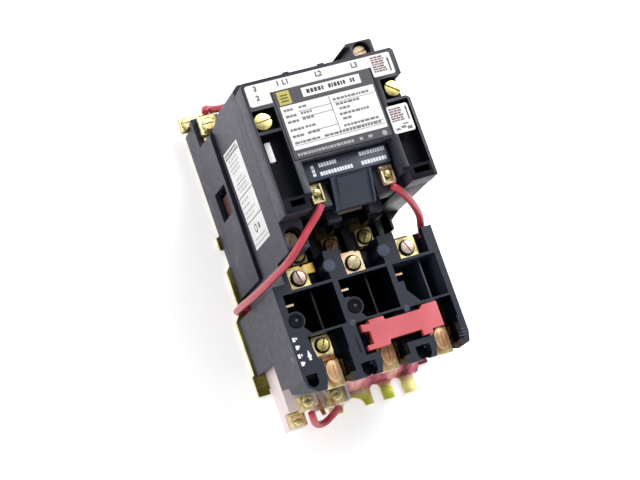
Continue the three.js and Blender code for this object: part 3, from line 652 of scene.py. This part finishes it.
def coil_details():
    """Ridges and a raised panel on the coil's front hump, the winding's tape and two feet below it."""
    profile = ((9.5, 111.5), (-5.6, 104.9), (-7.5, 102.6), (-7.5, 100.0), (9.5, 104.0))
    raised = Shape()
    for x0, x1, lift in ((-8.8, -7.4, 0.9), (13.8, 15.2, 0.9), (-5.4, 11.8, 0.35)):
        inset = 0.0 if lift > 0.5 else 1.4
        points = []
        for y, z in profile:
            shift = -inset if y > 0 else inset * 0.4
            points += [(x0, y + shift - lift * 0.45, z + lift), (x1, y + shift - lift * 0.45, z + lift)]
        raised.hull(points, 1 if lift > 0.5 else 0)
    raised.build("coil_ridges", "starter", [SLATE, POST], bevel=0.25)
    tape = Shape()
    tape.hull([(-6, -4.2, 97), (9, -4.2, 97), (-6, -8.4, 96.6), (9, -8.4, 96.6),
               (-5, -7.6, 93.5), (8, -7.6, 93.5), (-5, -4.2, 92), (8, -4.2, 92)])
    tape.build("winding_tape", "starter", [TAPE], bevel=0.6)
    feet = Shape()
    for x in (-8.2, 16.6):
        feet.box(x - 4.2, x + 4.2, -11.6, -4.6, 90, 96)
    feet.build("coil_feet", "starter", [FRONT], bevel=0.5)


# Printed marks

def front(z):
    return lambda u, v: (u, v, z)


def left_side(x):
    return lambda u, v: (x, v, u)


def words(rng, u0, u1, v, height, low=1.2, high=4.2, gap=0.7):
    """One line of stand-in text: word-long bars from u0 to u1."""
    rects = []
    u = u0
    while u < u1 - low:
        end = min(u1, u + rng.uniform(low, high))
        rects.append((u, end, v, v + height))
        u = end + gap
    return rects


def nameplate():
    rng = random.Random(4)
    plate = Shape()
    plate.prism(rounded(-26.4, 31.6, 22, 61.6, 0.6, 3), COVER_FRONT - 0.85, COVER_FRONT)
    plate.build("rating_plate", "starter", [BAND], bevel=0.1)
    face = front(COVER_FRONT + 0.04)
    film = Shape()
    film.quads(face, [(-10, 24.6, 54.6, 59.9), (-24.9, 30.4, 27.1, 52.2)])
    film.quads(front(COVER_FRONT + 0.08), [(-24.3, -17.1, 53.0, 60.6)], 1)
    bars = [(-22.9, -18.5, 54.4 + 1.7 * i, 55.3 + 1.7 * i) for i in range(3)]
    film.quads(front(COVER_FRONT + 0.12), bars, 2)
    film.build("plate_film", "starter", [PAPER, YELLOW, OLIVE], recalc=False)

    ink = Shape()
    mark = front(COVER_FRONT + 0.14)
    for u0, u1 in ((-7.4, -5.6), (-5.0, -3.4), (-2.8, -1.2), (-0.6, 1.0), (1.6, 2.6), (5.6, 7.0), (7.5, 8.3),
                   (8.9, 10.4), (11.0, 12.4), (13.0, 13.8), (14.4, 15.6), (18.6, 19.6), (20.1, 21.2)):
        ink.quads(mark, [(u0, u1, 56.2, 58.5)], 0)
    fine = []
    for v in (49.0, 45.4, 42.2, 37.6, 33.9):
        fine += words(rng, -23.4, -23.4 + rng.uniform(6, 8), v, 1.3, 1.2, 2.4, 0.4)
        fine += words(rng, -14.6, -14.6 + rng.uniform(5, 10), v + 0.2, 1.2, 1.0, 2.4, 0.5)
    for u, v, length in ((5.4, 48.6, 22), (6.2, 45.6, 15), (7.4, 42.8, 6), (6.4, 39.7, 18), (7.4, 36.9, 6),
                         (6.6, 33.0, 20.5), (-23.4, 30.2, 15), (-6, 30.2, 34)):
        fine += words(rng, u, u + length, v, 1.3, 1.0, 2.8, 0.5)
    ink.quads(mark, fine, 1)
    rules = [(3.5, 3.85, 31.5, 51.6), (-15.6, 3.5, 47.3, 47.6), (-15, 3.5, 43.7, 44.0),
             (-13.5, 3.5, 35.2, 35.5), (-24.2, 30, 29.3, 29.55), (4.9, 29.6, 47.4, 47.65),
             (5, 29.6, 31.6, 31.85)]
    ink.quads(mark, rules, 1)
    band = words(rng, -24.1, 10, 23.5, 1.6, 0.9, 2.4, 0.4) + words(rng, 12.4, 16, 23.5, 1.6, 1.4, 2, 0.6)
    band += words(rng, 17.6, 21.8, 23.6, 1.6, 2, 3, 0.6)
    ink.quads(mark, band, 2)
    ink.outline(mark, ring_points(27.4, 24.2, 1.5), 2)
    ink.build("plate_marks", "starter", [INK, INK_GREY, INK_PALE], recalc=False)


def arrow(shape, place, u, v0, v1, width):
    head = width * 1.5
    shape.quads(place, [(u - width * 0.28, u + width * 0.28, v0, v1 - head)])
    shape.outline(place, [(u - width / 2, v1 - head), (u + width / 2, v1 - head), (u, v1)])


def stickers():
    """White terminal strip along the cover's top, and two small stickers at its right edge."""
    rng = random.Random(11)
    z = COVER_FRONT
    film = Shape()
    strip = [(-39.5, 55.8), (-27.6, 55.8), (-27.6, 61.6), (32.6, 61.6), (32.6, 56), (33.2, 55.4), (45, 55.4),
             (45.7, 56.2), (45.7, 67.2), (45, 68), (-39.5, 68), (-40.5, 67), (-40.5, 56.8)]
    film.outline(front(z + 0.05), strip)
    film.outline(front(z + 0.05), rounded(32.9, 45.5, 21.7, 37.7, 1.2))
    film.build("terminal_film", "starter", [PAPER], recalc=False)
    ink = Shape()
    mark = front(z + 0.1)
    for v_top, rows in ((66.0, 7), (35.2, 6)):
        for row in range(rows):
            v = v_top - 1.35 * row
            ink.quads(mark, words(rng, 33.8, 41.6, v, 0.95, 1.0, 2.8, 0.3), 1 if row % 2 == 0 else 2)
    ink.quads(mark, [(34.4, 37.0, 23.4, 24.6), (37.8, 40.6, 24.0, 25.4), (41.2, 44, 22.9, 24.6),
                     (39.2, 42.6, 26, 26.8)], 2)
    arrow(ink, mark, 43.6, 57.0, 65.6, 1.5)
    arrow(ink, mark, 43.9, 28.0, 36.6, 1.3)
    ink.build("sticker_marks", "starter", [INK, INK_RED, INK_GREY], recalc=False)
    for text, x, y in (("3", -34.9, 65.4), ("2", -34.9, 60.0), ("1", -21.6, 65.3), ("L1", -17.0, 65.3),
                       ("L2", 2.4, 65.2), ("L3", 23.8, 65.0)):
        digits("mark_" + text.lower(), text, x, y, z + 0.1)


def digits(name, text, x, y, z):
    """A terminal mark in flat type, made a little bolder than the font."""
    curve = bpy.data.curves.new(name, "FONT")
    curve.body = text
    curve.size = 4.1 * MM
    curve.align_x = "CENTER"
    curve.align_y = "CENTER"
    curve.offset = 0.12 * MM
    text_object = bpy.data.objects.new(name + "_curve", curve)
    bpy.context.collection.objects.link(text_object)
    bpy.context.view_layer.update()
    mesh = bpy.data.meshes.new_from_object(text_object)
    bpy.data.objects.remove(text_object)
    mesh.transform(Matrix.Translation(Vector((x, y, z)) * MM))
    place_piece(name, mesh, "starter", [INK], 0, ())


def coil_marks():
    rng = random.Random(3)
    ink = Shape()
    face = front(COIL_FRONT + 0.06)
    ink.quads(face, [(-17.4, -15.6, 12.0 + 2.2 * i, 13.8 + 2.2 * i) for i in range(3)])
    for u0, u1, v, low in ((-12.7, -2.0, 16.3, 1.0), (-13.2, 6.4, 11.5, 0.9),
                           (11.5, 26.6, 16.7, 0.9), (11.2, 26.6, 11.5, 0.9)):
        ink.quads(face, words(rng, u0, u1, v, 2.2, low, 1.6, 0.32))
    ink.build("coil_marks", "starter", [INK_BLUISH], recalc=False)


def side_label():
    """White label on the left side, its rows running out from the panel."""
    rng = random.Random(7)
    film = Shape()
    x = LEFT_SIDE - 0.05
    film.outline(left_side(x), [(52, 51), (82.6, 50.6), (84, -6.6), (53.4, -6.8)])
    film.build("side_film", "starter", [PAPER], recalc=False)
    ink = Shape()
    face = left_side(x - 0.05)
    ink.quads(face, [(53, 83, 23.1, 23.7), (53.4, 83.4, 8.4, 9.0), (54, 83.6, -4.7, -4.3)], 0)
    for v in (48.4, 46.4):
        ink.quads(face, words(rng, 54, 81, v, 1.3, 1.5, 4, 0.6), 0)
    for i in range(9):
        v = 44 - 2.3 * i
        if i != 4:
            start = rng.uniform(55, 60)
            ink.quads(face, words(rng, start, start + rng.uniform(14, 22), v, 1.1, 1.0, 2.6, 1.4), 1)
    for v in (20, 17, 13.6, 11):
        ink.quads(face, words(rng, 56, rng.uniform(70, 80), v, 1.1, 1.0, 2.6, 1.4), 1)
    ink.outline(face, ring_points(65.4, 3.2, 2.6), 0)
    ink.outline(left_side(x - 0.1), ring_points(65.4, 3.2, 1.6), 2)
    ink.quads(face, [(70.6, 73.8, 1.6, 4.8)], 0)
    ink.quads(face, words(rng, 57, 80, -2.6, 1.0, 1, 2, 0.8), 1)
    ink.build("side_marks", "starter", [INK_GREY, INK_PALE, PAPER], recalc=False)


def side_lines():
    """Dark parting grooves on the left side of the cover and housing."""
    shape = Shape()
    face = left_side(LEFT_SIDE - 0.03)
    lines = [((116.8, 69), (104.6, 55.4)), ((104.6, 55.4), (95.6, 53.8)), ((95.6, 53.8), (96.6, 41.4)),
             ((106.4, 36), (107.2, 24.4))]
    half = 0.3
    for (z0, y0), (z1, y1) in lines:
        length = math.hypot(z1 - z0, y1 - y0)
        nz, ny = -(y1 - y0) / length * half, (z1 - z0) / length * half
        shape.outline(face, [(z0 - nz, y0 - ny), (z1 - nz, y1 - ny), (z1 + nz, y1 + ny), (z0 + nz, y0 + ny)])
    shape.outline(face, ring_points(105.3, 39.7, 0.6, 14))
    shape.build("parting_lines", "starter", [GLOSS_BLACK_AND_SHADE], recalc=False)


# Overload relay details

def relay_details():
    """Posts, knobs and dimples on the relay's front, then what shows inside its bays, pockets and notches,
    with copper cheeks and notch floors dark as painted shade.
    """
    top = RELAY_FRONT
    posts = Shape()
    for x in (-14.6, 18.4):
        posts.lathe(x, -31, [(3.7, top - 0.4), (3.7, top + 0.3), (3.3, top + 0.6), (1.0, top + 0.7)], 0, 32)
    posts.build("posts", "starter", [POST])
    # The dishes round the knobs are near-black painted shade.
    knobs = Shape()
    for x, y in BOSSES:
        bowl = [(4.3, top - 0.4), (4.3, top + 0.2), (3.7, top + 0.8), (2.8, top + 0.8), (2.5, top + 0.3),
                (0.9, top + 0.3)]
        knobs.lathe(x, y, bowl, 0, 36)
        knobs.lathe(x, y, [(0.9, top + 0.2), (0.8, top + 0.8), (0.3, top + 1.0)], 1, 16)
    knobs.build("bay_knobs", "starter", [RECESS_SHADE, TAUPE], bevel=0.2)
    dimples = Shape()
    for x, y in ((-13.0, -65.1), (19.7, -66.0)):
        dimples.lathe(x, y, [(1.9, top - 0.3), (1.9, top + 0.2), (1.5, top + 0.3), (1.2, top + 0.1)], 0, 24)
    dimples.build("shoulder_dimples", "starter", [SLATE])
    chips = Shape()
    for offset in RELAY_OFFSETS:
        chips.box(-45.5 + offset, -38.4 + offset, -45.6, -44.2, 70.9, 72.2)
    chips.build("bay_contacts", "starter", [ROSE_BRASS], bevel=0.15)
    # Copper cheeks on the lug pockets' right walls, in shaded copper: painted shade.
    cheeks = Shape()
    wedge = ((-22.9, -90, 57), (-20.2, -90, 64), (-22.9, -79.6, 57), (-20.2, -79.6, 66),
             (-22.9, -90, 56), (-20.2, -90, 56), (-22.9, -79.6, 56), (-20.2, -79.6, 56))
    for offset in RELAY_OFFSETS:
        cheeks.hull([(x + offset, y, z) for x, y, z in wedge])
    cheeks.build("lug_cheeks", "starter", [SHADED_COPPER], bevel=0.15)
    # Near-black floors part-way down the wire notches: painted shade standing for the dark notches.
    plugs = Shape()
    for x, y, radius in NOTCHES:
        plugs.lathe(x, y, [(radius - 0.1, 71.5), (radius - 0.1, 74)], 0, 24)
    plugs.build("notch_floors", "starter", [RECESS_SHADE])
    ribs = Shape()
    for i in range(3):
        ribs.box(43.6 + 0.9 * i, 48.9, -89.2 + 1.7 * i, -88.6 + 1.7 * i, top - 0.2, top + 0.2)
    ribs.build("corner_ribs", "starter", [POST], bevel=0.15)


def relay_marks():
    ink = Shape()
    face = front(RELAY_FRONT + 0.06)
    for i, v in enumerate((-64.2, -68.8, -73.6, -78.0)):
        lean = 0.4 * (i % 2)
        ink.quads(face, [(-48.7 + lean, -47.1 + lean, v - 1.9, v + 0.5), (-46.7, -45.9, v - 1.0, v + 0.2)])
    arrow(ink, face, -42.3, -78.0, -72.2, 2.6)
    ink.build("relay_marks", "starter", [WHITE], recalc=False)
    groove = Shape()
    side = left_side(RELAY_LEFT - 0.04)
    groove.outline(side, [(44.0, -57.6), (42.6, -57.4), (40.6, -65.9), (42.0, -66.1)])
    groove.outline(side, [(73, -72.6), (74.0, -72.6), (74.4, -75.2), (73.4, -75.2)], 1)
    groove.outline(front(RELAY_FRONT + 0.05),
                   [(-14.6, -73.4), (-13.5, -73.4), (-12.9, -82.0), (-14.2, -82.0)])
    groove.build("side_slot", "starter", [GLOSS_BLACK_AND_SHADE, INK_PALE], recalc=False)


def block_details():
    """Copper strip, raised V edges and side lip of the control contact block."""
    strip = Shape()
    strip.prism([(-25.8, -88.6), (-23.2, -88.6), (-21.4, -100.8), (-23.6, -101.2)], 11.6, 13.4)
    strip.build("block_strip", "starter", [COPPER_DEEP], bevel=0.2)
    edges = Shape()
    edges.hull([(-20.2, -86, 11.4), (-18.8, -86, 11.4), (-14.6, -99.4, 11.4), (-13.4, -98.6, 11.4),
                (-20.2, -86, 14.6), (-18.8, -86, 14.6), (-14.6, -99.4, 12.6), (-13.4, -98.6, 12.6)])
    edges.box(-6.2, -4.8, -97.2, -86, 11.4, 14.4)
    edges.box(-20, -5, -87.2, -86, 11.4, 14.4)
    edges.build("block_edges", "starter", [WHITE], bevel=0.3)
    rings = Shape()
    for x, y, z, half, top in BLOCK_CLAMPS:
        for side in (-1, 1):
            lip = x + side * (half - 0.5)
            rings.box(lip - 0.4, lip + 0.4, y - half + 0.4, y + half - 0.4, z + 1, z + 2.9)
        cup = [(half * 0.72, z + 1), (half * 0.72, z + 2.9), (half * 0.6, z + 2.9), (half * 0.5, z + 2.4)]
        # Dark copper cups under the heads: painted shade.
        rings.lathe(x, y, cup, 1)
        screw_head(rings, x, y, half * 0.62, z + 2.2, z + top, 30, slot=0.6, depth=0.9, dome=0.3, paint=2)
    rings.build("control_clamps", "starter", [YELLOW_BRASS, SHADED_COPPER, BRASS], bevel=0.15)


# Moving and remaining pieces

def moving_pieces():
    refined("contact_carrier", "crossbar_moulding", "crossbar", [BROWN, WHITE], 0.3,
            [(1, on_indicator_tab)])
    # The reset bar's upright faces are a darker red: painted shade.
    refined("reset_bar", "reset_moulding", "reset", [CORAL, CORAL_SHADED], 0.45,
            [(1, upright)])
    refined("trip_slider", "slider_moulding", "slider", [BROWN], 0.3)


ROUTES = {
    "wire_left": [(-17.9, -3.4, 109.4), (-21.5, -7.4, 109.4), (-28.5, -13.6, 108.4), (-35.6, -20, 107.8),
                  (-42, -26, 103.2), (-49, -30, 82), (-53, -31.6, 58), (-54.2, -31, 34), (-52.6, -30, 14),
                  (-48.4, -28.8, 6.2), (-43.2, -29.6, 5), (-40, -36, 4.9), (-40, -52, 5.6), (-40, -64, 6.6),
                  (-40, -74, 6.6)],
    "wire_right": [(24.4, -3.4, 109.4), (27.6, -6, 108.6), (33.6, -10.2, 102), (40.6, -14.6, 91),
                   (45.4, -18.4, 81), (47, -22, 74.5), (46.8, -28, 71.4)],
    "wire_jumper": [(-33.8, -98.8, 25.3), (-33.2, -101, 23.6), (-31, -104, 17), (-27.4, -105.3, 12),
                    (-22.8, -104.8, 10), (-18.6, -102.8, 10.6), (-15.4, -100.8, 12.8), (-13.6, -99.8, 15.4)],
    "wire_aux": [(-36.8, 84.2, 29.6), (-35.6, 86.6, 28.2), (-31.6, 85.4, 28), (-26, 83.6, 33),
                 (-21.6, 82.8, 39.6), (-18.8, 81, 43.4), (-18, 77.8, 44.2)],
}


def catmull(points, steps):
    """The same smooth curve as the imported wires: centripetal, through every point."""
    ends = [points[0] * 2 - points[1]] + points + [points[-1] * 2 - points[-2]]
    path = []
    for a, b, c, d in zip(ends, ends[1:], ends[2:], ends[3:]):
        knots = [0.0]
        for p, q in ((a, b), (b, c), (c, d)):
            knots.append(knots[-1] + max((q - p).length ** 0.5, 1e-6))
        t0, t1, t2, t3 = knots
        for i in range(steps):
            t = t1 + (t2 - t1) * i / steps
            a1 = a.lerp(b, (t - t0) / (t1 - t0))
            a2 = b.lerp(c, (t - t1) / (t2 - t1))
            a3 = c.lerp(d, (t - t2) / (t3 - t2))
            b1 = a1.lerp(a2, (t - t0) / (t2 - t0))
            b2 = a2.lerp(a3, (t - t1) / (t3 - t1))
            path.append(b1.lerp(b2, (t - t1) / (t2 - t1)))
    return path + [points[-1]]


def wires():
    for name, points in ROUTES.items():
        path = catmull([Vector(p) for p in points], 8)
        curve = bpy.data.curves.new(name + "_lead", "CURVE")
        curve.dimensions = "3D"
        curve.bevel_depth = WIRE_RADIUS * MM
        curve.bevel_resolution = 5
        curve.use_fill_caps = True
        spline = curve.splines.new("POLY")
        spline.points.add(len(path) - 1)
        for point, place in zip(spline.points, path):
            point.co = (*(place * MM), 1)
        spline.use_smooth = True
        curve.materials.append(WIRE)
        lead = bpy.data.objects.new(name + "_lead", curve)
        bpy.context.collection.objects.link(lead)
        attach(lead, "starter")
        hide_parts(name)


def metal_nodes():
    """Packed metal parts, painted finer. Faces deep in the housings are painted shade in dark brass."""
    for node, paint in (("aux_contact_upper", BRASS), ("aux_contact_lower", BRASS),
                        ("control_terminal_left", YELLOW_BRASS), ("control_terminal_right", YELLOW_BRASS)):
        refined(node, node + "_strip", "starter", [paint], 0)
    for i in (1, 2, 3):
        refined(f"line_contact_{i}", f"line_contact_{i}_strip", "starter", [BRASS], 0)
        # Load contacts, strap risers and strap 3's top are painted shade in dark brass.
        refined(f"load_contact_{i}", f"load_contact_{i}_strip", "starter", [SHADED], 0)
        top = (GOLD, ROSE_BRASS, SHADED)[i - 1]
        refined(f"strap_{i}", f"strap_{i}_strip", "starter", [top, SHADED], 0, [(1, on_riser)])
        refined(f"output_lug_{i}", f"output_lug_{i}_strip", "starter",
                [YELLOW_BRASS, COPPER_DEEP], 0, [(1, on_bend)], BEND_CUTS)
        refined(f"bridge_{i}", f"bridge_{i}_strip", "crossbar", [COPPER], 0)
    refined("bridge_aux", "bridge_aux_strip", "crossbar", [COPPER], 0)
    refined("armature", "armature_stack", "crossbar", [IRON], 0.2)
    refined("magnet_core", "core_stack", "starter", [IRON], 0.2)
    for node, joint, anchored_high, travel in (("return_spring", "crossbar_slide", True, CROSSBAR_TRAVEL),
                                               ("reset_spring", "reset_slide", False, RESET_TRAVEL)):
        coil = refined(node, node + "_coil", "starter", [STEEL], 0)
        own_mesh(coil)


# Studio, in metres

CAMERA_PLACE = Vector((-0.3953, -0.2233, 1.1351))
CAMERA_VIEW = Vector((0.3338, 0.1819, -0.9249))
CAMERA_UP = Vector((0.2536, 0.9277, 0.2740))
CAMERA_LENS = 117.1
FLOOR_HALF, FLOOR_Z = 4, -0.0003


def studio():
    floor_mesh = bpy.data.meshes.new("floor")
    corners = [(x * FLOOR_HALF, y * FLOOR_HALF, FLOOR_Z) for x, y in ((-1, -1), (1, -1), (1, 1), (-1, 1))]
    floor_mesh.from_pydata(corners, [], [(0, 1, 2, 3)])
    floor = bpy.data.objects.new("floor", floor_mesh)
    bpy.context.collection.objects.link(floor)
    floor_mesh.materials.append(shader_material("floor_white", (0.95, 0.95, 0.95), 0.9,
                                                Emission_Color=(1, 1, 1, 1), Emission_Strength=0.4))

    world = bpy.data.worlds.new("studio")
    bpy.context.scene.world = world
    world.use_nodes = True
    tree = world.node_tree
    place = tree.nodes.new("ShaderNodeTexCoord")
    split = tree.nodes.new("ShaderNodeSeparateXYZ")
    sky = tree.nodes.new("ShaderNodeMapRange")
    sky.inputs["From Min"].default_value = 0.35
    sky.inputs["From Max"].default_value = 0.95
    sky.inputs["To Min"].default_value = 0.85
    sky.inputs["To Max"].default_value = 0.40
    tree.links.new(place.outputs["Generated"], split.inputs[0])
    tree.links.new(split.outputs["Z"], sky.inputs["Value"])
    tree.links.new(sky.outputs["Result"], tree.nodes["Background"].inputs["Strength"])
    tree.nodes["Background"].inputs["Color"].default_value = (1.0, 1.0, 1.0, 1)

    area_light("key", (0.75, 0.75, 1.1), 0.9, 20)
    area_light("fill", (-0.9, 0.3, 0.8), 0.9, 3)


def area_light(name, place, size, power):
    light = bpy.data.lights.new(name, "AREA")
    light.size = size
    light.energy = power
    lamp = bpy.data.objects.new(name, light)
    lamp.location = place
    aim = Vector((0, 0, 0.05)) - Vector(place)
    lamp.rotation_euler = aim.to_track_quat("-Z", "Y").to_euler()
    bpy.context.collection.objects.link(lamp)


def camera():
    view = CAMERA_VIEW.normalized()
    up = CAMERA_UP.normalized()
    right = view.cross(up).normalized()
    up = right.cross(view)
    data = bpy.data.cameras.new("camera")
    data.sensor_width = 36.0
    data.lens = CAMERA_LENS
    data.clip_start = 0.01
    data.clip_end = 20
    eye = bpy.data.objects.new("camera", data)
    turn = Matrix((right, up, -view)).transposed().to_4x4()
    eye.matrix_world = Matrix.Translation(CAMERA_PLACE) @ turn
    bpy.context.collection.objects.link(eye)
    bpy.context.scene.camera = eye


camera()
studio()
bpy.context.scene.view_settings.view_transform = "Standard"
housings()
screws()
small_terminals()
coil_details()
nameplate()
stickers()
coil_marks()
side_label()
side_lines()
relay_details()
relay_marks()
block_details()
moving_pieces()
wires()
metal_nodes()
